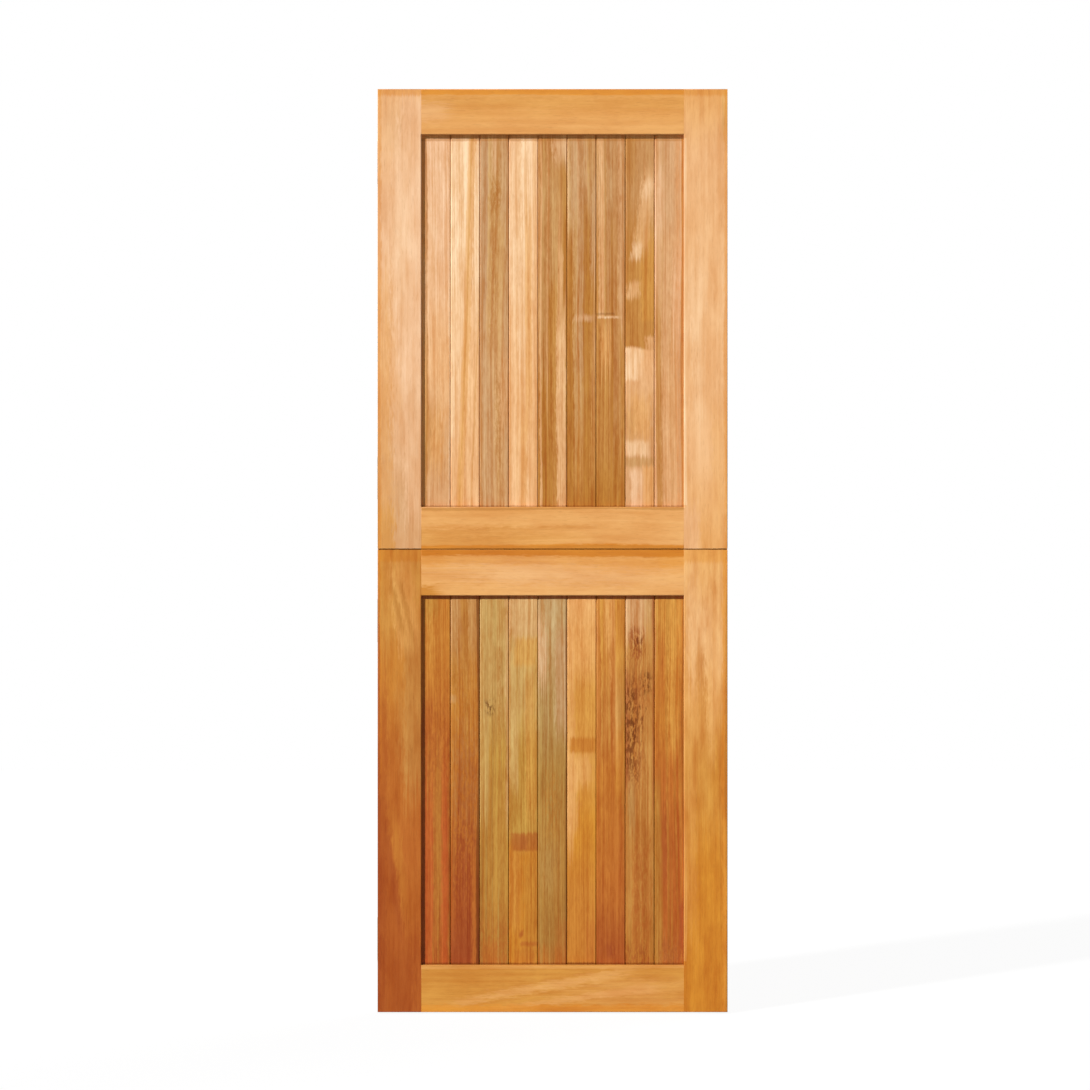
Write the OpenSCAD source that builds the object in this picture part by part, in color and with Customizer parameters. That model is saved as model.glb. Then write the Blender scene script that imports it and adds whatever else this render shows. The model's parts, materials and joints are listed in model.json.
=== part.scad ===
// Wooden stable door in two leaves, hung on butt hinges.
// X runs across the door, the front face looks to -Y, and Z is up from the bottom edge.
// Both leaves swing to the back about one line of hinge pins at the left edge.

/* [Door] */
// Width of both leaves
door_w = 809; // [760:1:920]
// Thickness of the stiles and rails
frame_t = 40; // [38:1:50]
// Height of the bottom leaf at its front face
bottom_leaf_h = 1069.5; // [900:0.5:1200]
// Height of the top leaf at its front face
top_leaf_h = 1062.5; // [900:0.5:1200]
// Gap between the two leaves where they meet
meeting_gap = 2; // [1.5:0.5:5]

/* [Stiles and rails] */
// Width of each stile
stile_w = 101; // [90:1:125]
// Height of the rail at the top of the top leaf
top_rail_h = 105; // [90:1:130]
// Height of the rail at the foot of the top leaf, at its front face
upper_meeting_rail_h = 96.5; // [90:0.5:130]
// Height of the rail at the top of the bottom leaf, at its front face
lower_meeting_rail_h = 106.5; // [90:0.5:130]
// Height of the rail at the foot of the bottom leaf
bottom_rail_h = 109; // [90:1:200]
// Chamfer round the opening on both faces
inner_chamfer = 1.5; // [1:0.5:6]

/* [Meeting rebate] */
// How far the top leaf's back lip hangs behind the bottom leaf
rebate_h = 12; // [8:1:20]
// Gap between the lip and the upstand that it laps
rebate_gap = 0.4; // [0.3:0.1:1]

/* [Mortise and tenon] */
// Thickness of a tenon
tenon_t = 14; // [10:1:16]
// Length of a tenon beyond its shoulder
tenon_l = 58; // [40:1:64]
// Shoulder left between a tenon and the rail's outer edge
tenon_margin = 18; // [12:1:26]
// Glue gap round a tenon
glue_gap = 0.1; // [0.05:0.05:0.2]
// Room for glue beyond a tenon's end
mortise_end_room = 2; // [1:0.5:4]

/* [Boards] */
// Number of boards in each leaf
board_count = 9; // [7:1:11]
// Thickness of a board
board_t = 18; // [16:1:20]
// Gap between the edges of neighbouring boards
board_gap = 0.6; // [0.4:0.1:1.2]
// Chamfer on the edges of the boards, on both faces
board_vee = 2; // [1:0.5:3]
// Thickness of a board's tongue
tongue_t = 6; // [5:0.5:7]
// Length of a board's tongue
tongue_l = 7; // [5:0.5:9]
// Clearance on each side of a tongue
tongue_clearance = 0.2; // [0.1:0.1:0.4]
// Room beyond the end of a tongue
tongue_end_room = 1; // [0.5:0.5:2]
// Depth of the groove in the stiles and rails
groove_d = 12; // [10:1:15]
// Clearance between a board's faces and the groove
groove_clearance = 0.2; // [0.1:0.1:0.4]
// Room for the boards to move in the groove
groove_room = 2; // [1:0.5:4]

/* [Hinges] */
// Height of a hinge
hinge_h = 100; // [80:1:120]
// Distance from the end of a leaf to the middle of its hinge
hinge_inset = 165; // [150:1:260]
// Width of a hinge plate from the pin to its free edge
plate_w = 37; // [33:1:40]
// Thickness of a hinge plate
plate_t = 2.5; // [2.5:0.5:3.5]
// Gap between the closed plates
plate_gap = 1; // [0.6:0.1:2]
// How far the jamb plate stands out from the leaf's edge
plate_proud = 0.5; // [0.5:0.5:3]
// Clearance round a plate in its recess
plate_clearance = 0.3; // [0.2:0.1:0.6]
// Diameter of the knuckles
knuckle_d = 10; // [9.5:0.5:14]
// Number of knuckles on a hinge
knuckle_count = 5; // [3:2:7]
// Gap between neighbouring knuckles
knuckle_gap = 0.3; // [0.2:0.1:0.6]
// Gap between the knuckles and what turns past them
knuckle_clearance = 0.5; // [0.4:0.1:1]
// Diameter of a pin
pin_d = 5.5; // [5:0.5:6.5]
// Running clearance of a pin in its bore, on the radius
pin_clearance = 0.05; // [0.02:0.01:0.08]
// Diameter of a pin's head
pin_head_d = 8.5; // [8:0.5:9.5]
// Height of a pin's head
pin_head_h = 3; // [2:0.5:4]

/* [Hinge screws] */
// Diameter of a screw's shank
screw_d = 4.2; // [3.5:0.1:4.5]
// Diameter of a screw's head
screw_head_d = 8.2; // [7.5:0.1:8.8]
// Length of a screw
screw_l = 32; // [25:1:34]
// Length of a screw's point
screw_point_l = 6; // [4:0.5:8]
// Width of the slot in a screw's head
slot_w = 1.2; // [0.8:0.1:1.5]
// Depth of the slot in a screw's head
slot_d = 1; // [0.6:0.1:1.4]
// Clearance round a screw's shank in its plate, on the radius
screw_hole_clearance = 0.4; // [0.3:0.05:0.5]
// Clearance round a screw's head in its countersink, on the radius
screw_head_clearance = 0.1; // [0.05:0.05:0.2]
// Clearance round a screw in the wood, on the radius
pilot_clearance = 0.1; // [0.05:0.05:0.2]
// Room beyond a screw's point
pilot_room = 1; // [0.5:0.5:3]
// Distance between the two columns of screws
screw_column = 15; // [12:1:17]
// Distance between the two rows of screws
screw_row = 70; // [50:1:76]
// Distance from a plate's free edge to the nearer column of screws
screw_edge = 7; // [6:0.5:8]

/* [Hidden] */
$fn = 64;
// The cutters reach this far past the faces that they cut
over = 1;

BOTTOM = 0;
TOP = 1;
LEAVES = [BOTTOM, TOP];
leaf_name = ["bottom_leaf", "top_leaf"];
LOWER = 0;
UPPER = 1;
PLACES = [LOWER, UPPER];
rail_name = [["bottom_rail", "lower_meeting_rail"], ["upper_meeting_rail", "top_rail"]];
hinge_name = ["lower_hinge", "upper_hinge"];
LEFT = -1;
RIGHT = 1;
SIDES = [LEFT, RIGHT];
JAMB = -1;
LEAF = 1;

// Heights of the leaves and of their openings, each list holding the bottom leaf first
leaf_z0 = [0, bottom_leaf_h + meeting_gap];
leaf_z1 = [bottom_leaf_h, bottom_leaf_h + meeting_gap + top_leaf_h];
opening_z0 = [leaf_z0[BOTTOM] + bottom_rail_h, leaf_z0[TOP] + upper_meeting_rail_h];
opening_z1 = [leaf_z1[BOTTOM] - lower_meeting_rail_h, leaf_z1[TOP] - top_rail_h];
// The back half of the meeting edges lies lower than the front half
back_z0 = [leaf_z0[BOTTOM], leaf_z0[TOP] - rebate_h];
back_z1 = [leaf_z1[BOTTOM] - rebate_h, leaf_z1[TOP]];

front_y = -frame_t / 2;
back_y = frame_t / 2;
lip_front_y = rebate_gap / 2;
upstand_back_y = -rebate_gap / 2;
opening_w = door_w - 2 * stile_w;
opening_x = opening_w / 2;
edge_x = -door_w / 2;

board_pitch = opening_w / board_count;
groove_t = board_t + 2 * groove_clearance;
tongue_groove_t = tongue_t + 2 * tongue_clearance;
tongue_groove_d = tongue_l - board_gap + tongue_end_room;

// The pin lies midway between the closed plates and clear of the back face
knuckle_r = knuckle_d / 2;
bore_r = pin_d / 2 + pin_clearance;
pin_x = edge_x - plate_proud + plate_t + plate_gap / 2;
pin_y = back_y + knuckle_r + knuckle_clearance;
knuckle_pitch = hinge_h / knuckle_count;
recess_d = 2 * plate_t + plate_gap - plate_proud;
screw_hole_r = screw_d / 2 + screw_hole_clearance;
// The countersink and the head are cones of 90 degrees
screw_sink_r = screw_head_d / 2 + screw_head_clearance;
screw_sink_d = screw_sink_r - screw_hole_r;
screw_head_h = (screw_head_d - screw_d) / 2;
screw_ys = [for (column = [0, 1]) screw_edge - plate_w + column * screw_column];
screw_zs = [for (row = [-1, 1]) row * screw_row / 2];

hinge_z = [for (leaf = LEAVES) [leaf_z0[leaf] + hinge_inset, leaf_z1[leaf] - hinge_inset]];

// Colours as the photo shows them
peach = "#EEBD8C";
amber = "#E3A25A";
honey = "#D99A4A";
russet = "#BA6A30";
walnut = "#BF8445";
straw = "#F4C690";
tan = "#C99A60";
khaki = "#C3A25C";
brass = "#C9A45C";
stile_tone = [[russet, honey], [peach, peach]];
rail_tone = [[honey, amber], [amber, amber]];
board_tone = [
    [russet, russet, khaki, khaki, khaki, amber, walnut, walnut, honey],
    [peach, straw, tan, straw, walnut, walnut, tan, amber, tan]
];

function stile_node(leaf, side) = str(leaf_name[leaf], side == LEFT ? "_hinge_stile" : "_closing_stile");
function board_node(leaf, i) = str(leaf_name[leaf], "_board_", i);
function hinge_node(leaf, place, piece) = str(leaf_name[leaf], "_", hinge_name[place], "_", piece);
function screw_node(leaf) = str(leaf_name[leaf], "_hinge_screws");

BOARDS = [1 : board_count];
PIECES = ["jamb_plate", "leaf_plate", "pin"];
NODES = concat(
    [for (leaf = LEAVES, side = SIDES) stile_node(leaf, side)],
    [for (leaf = LEAVES, place = PLACES) rail_name[leaf][place]],
    [for (leaf = LEAVES, i = BOARDS) board_node(leaf, i)],
    [for (leaf = LEAVES, place = PLACES, piece = PIECES) hinge_node(leaf, place, piece)],
    [for (leaf = LEAVES) screw_node(leaf)]
);
node = "all";

function drawn(name) = node == "all" || node == name;

// A bar along X with a profile given in Y and Z, centred on X = 0
module bar_along_x(length) {
    translate([-length / 2, 0, 0]) rotate([90, 0, 90]) linear_extrude(length) children();
}

// The outline of a leaf seen from its edge, with its half of the meeting rebate
module leaf_edge_profile(leaf) {
    translate([front_y, leaf_z0[leaf]])
        square([upstand_back_y - front_y, leaf_z1[leaf] - leaf_z0[leaf]]);
    translate([lip_front_y, back_z0[leaf]])
        square([back_y - lip_front_y, back_z1[leaf] - back_z0[leaf]]);
    middle_z0 = max(leaf_z0[leaf], back_z0[leaf]);
    middle_z1 = min(leaf_z1[leaf], back_z1[leaf]);
    translate([upstand_back_y, middle_z0])
        square([lip_front_y - upstand_back_y, middle_z1 - middle_z0]);
}

// The space that the chamfer round an opening takes out of the front face, mitred at the corners
module opening_chamfer(leaf) {
    inner_y = front_y + inner_chamfer;
    outer_y = front_y - over;
    spread = inner_chamfer + over;
    intersection() {
        translate([0, 0, leaf_z0[leaf]]) linear_extrude(leaf_z1[leaf] - leaf_z0[leaf]) polygon([
            [-opening_x - spread, outer_y],
            [opening_x + spread, outer_y],
            [opening_x, inner_y],
            [-opening_x, inner_y]
        ]);
        bar_along_x(door_w) polygon([
            [outer_y, opening_z0[leaf] - spread],
            [inner_y, opening_z0[leaf]],
            [inner_y, opening_z1[leaf]],
            [outer_y, opening_z1[leaf] + spread]
        ]);
    }
}

module opening_chamfers(leaf) {
    opening_chamfer(leaf);
    mirror([0, 1, 0]) opening_chamfer(leaf);
}

// The groove round an opening, which holds the boards
module board_groove(leaf) {
    translate([-opening_x - groove_d, -groove_t / 2, opening_z0[leaf] - groove_d])
        cube([
            opening_w + 2 * groove_d,
            groove_t,
            opening_z1[leaf] - opening_z0[leaf] + 2 * groove_d
        ]);
}

// Lowest and highest points of the tenons on a rail, clear of the groove and of the rebate
function tenon_z0(leaf, place) = place == LOWER
    ? max(leaf_z0[leaf], back_z0[leaf]) + tenon_margin
    : opening_z1[leaf] + groove_d;
function tenon_z1(leaf, place) = place == LOWER
    ? opening_z0[leaf] - groove_d
    : min(leaf_z1[leaf], back_z1[leaf]) - tenon_margin;

// Both tenons of a rail as one bar, or with some room the two mortises that they enter
module tenon_bar(leaf, place, room = 0, end_room = 0) {
    length = opening_w + 2 * (tenon_l + end_room);
    z0 = tenon_z0(leaf, place) - room;
    translate([-length / 2, -tenon_t / 2 - room, z0])
        cube([length, tenon_t + 2 * room, tenon_z1(leaf, place) + room - z0]);
}

module stile(leaf, side) {
    color(stile_tone[leaf][side == LEFT ? 0 : 1]) difference() {
        translate([side * (opening_x + stile_w / 2), 0, 0])
            bar_along_x(stile_w) leaf_edge_profile(leaf);
        opening_chamfers(leaf);
        board_groove(leaf);
        for (place = PLACES) tenon_bar(leaf, place, glue_gap, mortise_end_room);
        if (side == LEFT) for (place = PLACES) at_hinge(leaf, place) hinge_recess();
    }
}

module rail(leaf, place) {
    z0 = place == LOWER ? min(leaf_z0[leaf], back_z0[leaf]) : opening_z1[leaf];
    z1 = place == LOWER ? opening_z0[leaf] : leaf_z1[leaf];
    color(rail_tone[leaf][place]) union() {
        difference() {
            bar_along_x(opening_w) intersection() {
                leaf_edge_profile(leaf);
                translate([front_y, z0]) square([frame_t, z1 - z0]);
            }
            opening_chamfers(leaf);
            board_groove(leaf);
        }
        tenon_bar(leaf, place);
    }
}

// One board in section: a chamfered body with a groove on its left and a tongue on its right.
// The first and last boards run plain into the grooves of the stiles.
module board_profile(i) {
    first = i == 1;
    last = i == board_count;
    x0 = -opening_x + (i - 1) * board_pitch + (first ? groove_room - groove_d : board_gap / 2);
    x1 = -opening_x + i * board_pitch + (last ? groove_d - groove_room : -board_gap / 2);
    half_t = board_t / 2;
    vee_y = half_t - board_vee;
    difference() {
        union() {
            polygon(concat(
                first ? [[x0, -half_t]] : [[x0, -vee_y], [x0 + board_vee, -half_t]],
                last ? [[x1, -half_t]] : [[x1 - board_vee, -half_t], [x1, -vee_y]],
                last ? [[x1, half_t]] : [[x1, vee_y], [x1 - board_vee, half_t]],
                first ? [[x0, half_t]] : [[x0 + board_vee, half_t], [x0, vee_y]]
            ));
            if (!last) translate([x1 - over, -tongue_t / 2]) square([tongue_l + over, tongue_t]);
        }
        if (!first) translate([x0 - over, -tongue_groove_t / 2])
            square([tongue_groove_d + over, tongue_groove_t]);
    }
}

module board(leaf, i) {
    z0 = opening_z0[leaf] - groove_d;
    z1 = opening_z1[leaf] + groove_d - groove_room;
    color(board_tone[leaf][(i - 1) % len(board_tone[leaf])])
        translate([0, 0, z0]) linear_extrude(z1 - z0) board_profile(i);
}

// Places its children at a hinge: the pin is the Z axis and its middle the origin
module at_hinge(leaf, place) {
    translate([pin_x, pin_y, hinge_z[leaf][place]]) children();
}

// Places its children at each screw of a hinge, on the plane midway between the plates
module at_screws() {
    for (y = screw_ys, z = screw_zs) translate([0, y, z]) children();
}

// A turned shape along X, with a profile given as radius and distance
module turned_along_x() {
    rotate([0, 90, 0]) rotate_extrude() children();
}

// What a hinge takes out of the stile: the recess for its plates and the pilot holes
module hinge_recess() {
    front = -plate_w - plate_clearance;
    height = hinge_h + 2 * plate_clearance;
    pilot_l = plate_gap / 2 + screw_l + pilot_room;
    translate([edge_x - pin_x - over, front, -height / 2])
        cube([recess_d + over, back_y - pin_y + over - front, height]);
    at_screws() rotate([0, 90, 0]) cylinder(r = screw_d / 2 + pilot_clearance, h = pilot_l);
}

// Knuckles are counted from the bottom, and every second one belongs to the leaf plate.
// A gap parts each from the next, and the first and last end flush with the plates.
KNUCKLES = [0 : knuckle_count - 1];
function knuckle_owner(k) = k % 2 == 0 ? JAMB : LEAF;
function knuckle_line(k) = k * knuckle_pitch - hinge_h / 2;
function knuckle_z0(k) = knuckle_line(k) + (k == 0 ? 0 : knuckle_gap / 2);
function knuckle_z1(k) = knuckle_line(k + 1) - (k == knuckle_count - 1 ? 0 : knuckle_gap / 2);

module knuckle(k) {
    translate([0, 0, knuckle_z0(k)]) cylinder(r = knuckle_r, h = knuckle_z1(k) - knuckle_z0(k));
}

// The cut in a plate that lets the other plate's knuckle turn
module knuckle_notch(k) {
    reach = knuckle_r + knuckle_clearance;
    translate([-reach, -reach, knuckle_line(k) - knuckle_gap / 2])
        cube([2 * reach, reach + over, knuckle_pitch + knuckle_gap]);
}

// A countersunk hole through the leaf plate, from the face at the gap outwards
module screw_hole() {
    translate([plate_gap / 2, 0, 0]) turned_along_x() polygon([
        [0, -over],
        [screw_sink_r + over, -over],
        [screw_hole_r, screw_sink_d],
        [screw_hole_r, plate_t + over],
        [0, plate_t + over]
    ]);
}

module hinge_plate(owner) {
    color(brass) difference() {
        union() {
            difference() {
                translate([owner == LEAF ? plate_gap / 2 : -plate_gap / 2 - plate_t, -plate_w, -hinge_h / 2])
                    cube([plate_t, plate_w, hinge_h]);
                for (k = KNUCKLES) if (knuckle_owner(k) != owner) knuckle_notch(k);
            }
            for (k = KNUCKLES) if (knuckle_owner(k) == owner) knuckle(k);
        }
        cylinder(r = bore_r, h = hinge_h + 2 * over, center = true);
        at_screws() mirror([owner == LEAF ? 0 : 1, 0, 0]) screw_hole();
    }
}

// A pin with a domed head, dropped through the knuckles from above
module hinge_pin() {
    head_r = pin_head_d / 2;
    color(brass) union() {
        cylinder(d = pin_d, h = hinge_h, center = true);
        translate([0, 0, hinge_h / 2]) intersection() {
            cylinder(r = head_r, h = pin_head_h);
            translate([0, 0, pin_head_h - head_r]) sphere(r = head_r);
        }
    }
}

// A slotted countersunk wood screw, with its head flush in the leaf plate
module hinge_screw() {
    translate([plate_gap / 2, 0, 0]) difference() {
        turned_along_x() polygon([
            [0, 0],
            [screw_head_d / 2, 0],
            [screw_d / 2, screw_head_h],
            [screw_d / 2, screw_l - screw_point_l],
            [0, screw_l]
        ]);
        translate([-over, -slot_w / 2, -screw_head_d / 2 - over])
            cube([slot_d + over, slot_w, screw_head_d + 2 * over]);
    }
}

module hinge_screws(leaf) {
    color(brass) for (place = PLACES) at_hinge(leaf, place) at_screws() hinge_screw();
}

for (leaf = LEAVES, side = SIDES) if (drawn(stile_node(leaf, side))) stile(leaf, side);
for (leaf = LEAVES, place = PLACES) if (drawn(rail_name[leaf][place])) rail(leaf, place);
for (leaf = LEAVES, i = BOARDS) if (drawn(board_node(leaf, i))) board(leaf, i);
for (leaf = LEAVES, place = PLACES) at_hinge(leaf, place) {
    if (drawn(hinge_node(leaf, place, "jamb_plate"))) hinge_plate(JAMB);
    if (drawn(hinge_node(leaf, place, "leaf_plate"))) hinge_plate(LEAF);
    if (drawn(hinge_node(leaf, place, "pin"))) hinge_pin();
}
for (leaf = LEAVES) if (drawn(screw_node(leaf))) hinge_screws(leaf);
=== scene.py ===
# %% [markdown]
# # A stable door in two leaves
# A stable door is cut across at hand height, so its top leaf can stand open while the bottom leaf
# stays shut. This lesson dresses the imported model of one: varnished hardwood frames, nine
# tongue-and-groove boards in each leaf, and brass butt hinges on the left edge.
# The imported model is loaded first, and every piece below is made from it or fitted to it.

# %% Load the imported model
import json
from collections import namedtuple
from math import radians

import bmesh
import bpy
from mathutils import Color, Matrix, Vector


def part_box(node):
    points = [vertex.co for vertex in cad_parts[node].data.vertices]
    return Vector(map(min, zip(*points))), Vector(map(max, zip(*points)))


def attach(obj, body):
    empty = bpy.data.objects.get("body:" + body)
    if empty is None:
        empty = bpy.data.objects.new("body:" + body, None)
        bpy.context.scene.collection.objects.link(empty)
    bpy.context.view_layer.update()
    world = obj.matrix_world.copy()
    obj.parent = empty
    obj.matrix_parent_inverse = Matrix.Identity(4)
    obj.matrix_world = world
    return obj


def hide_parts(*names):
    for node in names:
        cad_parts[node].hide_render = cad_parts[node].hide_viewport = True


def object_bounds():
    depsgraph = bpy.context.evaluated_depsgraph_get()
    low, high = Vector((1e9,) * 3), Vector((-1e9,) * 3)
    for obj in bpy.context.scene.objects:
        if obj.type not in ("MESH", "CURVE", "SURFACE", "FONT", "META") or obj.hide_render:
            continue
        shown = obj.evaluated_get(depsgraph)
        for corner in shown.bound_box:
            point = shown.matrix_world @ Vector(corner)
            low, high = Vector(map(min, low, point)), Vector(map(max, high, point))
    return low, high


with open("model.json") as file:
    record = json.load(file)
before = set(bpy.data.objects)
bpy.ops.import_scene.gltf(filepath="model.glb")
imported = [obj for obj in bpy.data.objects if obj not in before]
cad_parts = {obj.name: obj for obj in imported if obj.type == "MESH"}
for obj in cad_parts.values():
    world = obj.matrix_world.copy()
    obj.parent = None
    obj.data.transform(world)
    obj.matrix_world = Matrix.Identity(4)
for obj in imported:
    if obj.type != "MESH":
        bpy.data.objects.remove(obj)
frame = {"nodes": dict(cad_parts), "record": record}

cad_low, cad_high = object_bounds()
door_height = cad_high.z - cad_low.z
print("door height in metres:", round(door_height, 4))

# %% [markdown]
# ## The camera
# The photo looks straight at the front face, so upright edges stay upright and level edges level.
# A long lens from far away gives nearly no perspective. Its distance follows from the height that
# the door takes up in the picture, and its place from where the middle of the picture falls on the door.

# %% Place the camera
PICTURE_WIDTH = 1090
DOOR_IN_PICTURE = 923.2
MIDDLE_LEFT_OF_DOOR_MIDDLE = 7.6
MIDDLE_ABOVE_BOTTOM_EDGE = 467.2
LENS = 120
SENSOR = 36
FARTHEST_SEEN = 60
FRONT_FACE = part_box("top_rail")[0].y

pixel = door_height / DOOR_IN_PICTURE
camera_data = bpy.data.cameras.new("front_camera")
camera_data.lens = LENS
camera_data.sensor_width = SENSOR
camera_data.clip_end = FARTHEST_SEEN
camera = bpy.data.objects.new("front_camera", camera_data)
bpy.context.scene.collection.objects.link(camera)
camera_distance = PICTURE_WIDTH * pixel * LENS / SENSOR
camera.location = (
    -MIDDLE_LEFT_OF_DOOR_MIDDLE * pixel,
    FRONT_FACE - camera_distance,
    MIDDLE_ABOVE_BOTTOM_EDGE * pixel,
)
camera.rotation_euler = (radians(90), 0, 0)
bpy.context.scene.camera = camera
bpy.context.scene.view_settings.view_transform = "Standard"
print("camera stands", round(camera_distance, 2), "m before the door")

# %% [markdown]
# ## Small helpers for shader nodes
# A shader is a tree of nodes, and every node is made, set and linked in the same way. Written out, that
# takes four lines a node, so three short helpers do it. A fourth one tells rays that are seen from
# rays that only bring light, for the white background.

# %% Helpers for shader nodes
def join(tree, feed, socket):
    """Links a socket to the one that feeds it, or writes a plain value into it."""
    if feed is None:
        return
    if isinstance(feed, bpy.types.NodeSocket):
        tree.links.new(feed, socket)
    else:
        socket.default_value = feed


def add(tree, kind, *feeds, **settings):
    """Adds one shader node, sets its options and fills its first inputs in order."""
    node = tree.nodes.new("ShaderNode" + kind)
    for option, value in settings.items():
        setattr(node, option, value)
    for socket, feed in zip(node.inputs, feeds):
        join(tree, feed, socket)
    return node


def fill(node, values):
    """Writes plain values into inputs that are called by their names."""
    for name, value in values.items():
        node.inputs[name].default_value = value


def seen_directly(tree):
    """Gives 1 for rays from the camera, from a reflection or through glass, and 0 for the rest."""
    path = add(tree, "LightPath").outputs
    seen = add(tree, "Math", path["Is Camera Ray"], path["Is Glossy Ray"], operation="MAXIMUM").outputs[0]
    return add(tree, "Math", seen, path["Is Transmission Ray"], operation="MAXIMUM").outputs[0]


print("helpers ready")

# %% [markdown]
# ## Studio light
# The shadow lines inside the panels lie along their top and left sides, so the main light comes from
# the upper left, in front. A sun lamp keeps those lines crisp, and the grey world fills the shadows.
# A softer sun stands behind the door, for views of its back, and it is kept out of reflections so that
# it leaves no glare on level edges. What the camera sees of the world is white, and so is what brass
# reflects, but the timber is only lit by the grey.

# %% Light the studio
ROOM_GREY = 0.23
KEY_STRENGTH = 3.95
KEY_TRAVEL = (0.9, 1.0, -0.9)
KEY_SOFTNESS = 3
BACK_STRENGTH = 3.0
BACK_TRAVEL = (-0.8, -1.0, -0.35)
BACK_SOFTNESS = 40

world = bpy.data.worlds.new("studio")
world.use_nodes = True
bpy.context.scene.world = world
sky = world.node_tree
sky.nodes.clear()
room = add(sky, "Background", (ROOM_GREY, ROOM_GREY, ROOM_GREY, 1), 1.0)
white = add(sky, "Background", (1, 1, 1, 1), 1.0)
sky_mix = add(sky, "MixShader", seen_directly(sky), room.outputs[0], white.outputs[0])
add(sky, "OutputWorld", sky_mix.outputs[0])


def sun(name, strength, travel, softness):
    """Hangs a sun lamp whose light travels in the given direction."""
    lamp = bpy.data.lights.new(name, "SUN")
    lamp.energy = strength
    lamp.angle = radians(softness)
    hung = bpy.data.objects.new(name, lamp)
    hung.rotation_euler = Vector(travel).to_track_quat("-Z", "Y").to_euler()
    bpy.context.scene.collection.objects.link(hung)
    return hung


key_sun = sun("key_sun", KEY_STRENGTH, KEY_TRAVEL, KEY_SOFTNESS)
back_sun = sun("back_sun", BACK_STRENGTH, BACK_TRAVEL, BACK_SOFTNESS)
back_sun.visible_glossy = False
print("lamps:", key_sun.name, back_sun.name)

# %% [markdown]
# ## The floor
# A plain pale floor lies just under the bottom edge. The camera sees it almost white, with the
# door's shadow as a faint grey, and for light that bounces it is a middle grey, so that it doesn't
# brighten the underside of every edge.

# %% Lay the floor
FLOOR_HALF = 9.0
FLOOR_DROP = 0.004
FLOOR_SHADOW_SHARE = 0.07
BOUNCE_GREY = 0.24
LIT_GREY = 0.95

floor_mesh = bpy.data.meshes.new("floor")
sheet = bmesh.new()
bmesh.ops.create_grid(sheet, x_segments=1, y_segments=1, size=FLOOR_HALF)
bmesh.ops.translate(sheet, verts=sheet.verts[:], vec=(0, 0, cad_low.z - FLOOR_DROP))
sheet.to_mesh(floor_mesh)
sheet.free()
floor = bpy.data.objects.new("floor", floor_mesh)
bpy.context.scene.collection.objects.link(floor)

floor_paint = bpy.data.materials.new("floor_paint")
floor_paint.use_nodes = True
paint = floor_paint.node_tree
paint.nodes.clear()
bounce = add(paint, "BsdfDiffuse", (BOUNCE_GREY, BOUNCE_GREY, BOUNCE_GREY, 1))
lit = add(paint, "BsdfDiffuse", (LIT_GREY, LIT_GREY, LIT_GREY, 1))
glow = add(paint, "Emission", (1, 1, 1, 1), 1.0)
shown = add(paint, "MixShader", FLOOR_SHADOW_SHARE, glow.outputs[0], lit.outputs[0])
floor_mix = add(paint, "MixShader", seen_directly(paint), bounce.outputs[0], shown.outputs[0])
add(paint, "OutputMaterial", floor_mix.outputs[0])
floor_mesh.materials.append(floor_paint)
print("floor laid at", round(cad_low.z - FLOOR_DROP, 4))

# %% [markdown]
# ## The tones of the timber
# The maker joined whatever boards came to hand, so one door holds cream sapwood, orange heartwood,
# grey-green boards and red-brown ones. A painter would mix a short palette once and use it everywhere.
# Each tone below is written as it looks on a screen, from 0 to 255, and turned into light values.

# %% Mix the palette
TONES = {
    "cream": (252, 208, 160),
    "shell": (244, 193, 147),
    "petal": (242, 186, 130),
    "peach": (238, 180, 124),
    "apricot": (235, 172, 104),
    "honey": (230, 164, 92),
    "orange": (222, 142, 54),
    "rind": (207, 124, 40),
    "gold": (213, 146, 66),
    "amber": (206, 133, 48),
    "biscuit": (220, 164, 112),
    "fawn": (206, 158, 112),
    "tan": (205, 152, 94),
    "toffee": (196, 133, 66),
    "caramel": (182, 116, 48),
    "ginger": (199, 124, 50),
    "rust": (188, 106, 44),
    "russet": (178, 93, 40),
    "brick": (206, 92, 46),
    "chestnut": (160, 76, 38),
    "umber": (104, 54, 22),
    "straw": (212, 168, 100),
    "khaki": (203, 157, 90),
    "mustard": (193, 140, 62),
    "sage": (200, 160, 106),
    "moss": (185, 143, 86),
    "olive": (175, 127, 62),
}
VARNISH_HAZE = 0.008


def tone(name):
    """Turns a named tone into light values, less the haze that the varnish lays over it."""
    light = Color([part / 255 for part in TONES[name]]).from_srgb_to_scene_linear()
    return tuple(max(part - VARNISH_HAZE, 0.0) for part in light) + (1.0,)


print("tones mixed:", len(TONES))

# %% [markdown]
# ## How a length of timber is drawn
# Wood grain is one pattern that runs through the whole piece, so it is drawn in the object's own
# coordinates: the front, the back and the edges then agree. Three numbers describe a point: how far
# along the grain it lies, how far across, and how deep. Streaks are noise stretched along the grain,
# and a slow wander bends them, because no tree grows straight.

# %% Streaks, rings and pores
WANDER = 0.007
BEND_PACE = 2.3
BEND_NOISE = {"Scale": 1.0, "Detail": 2.0, "Roughness": 0.4}
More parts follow.
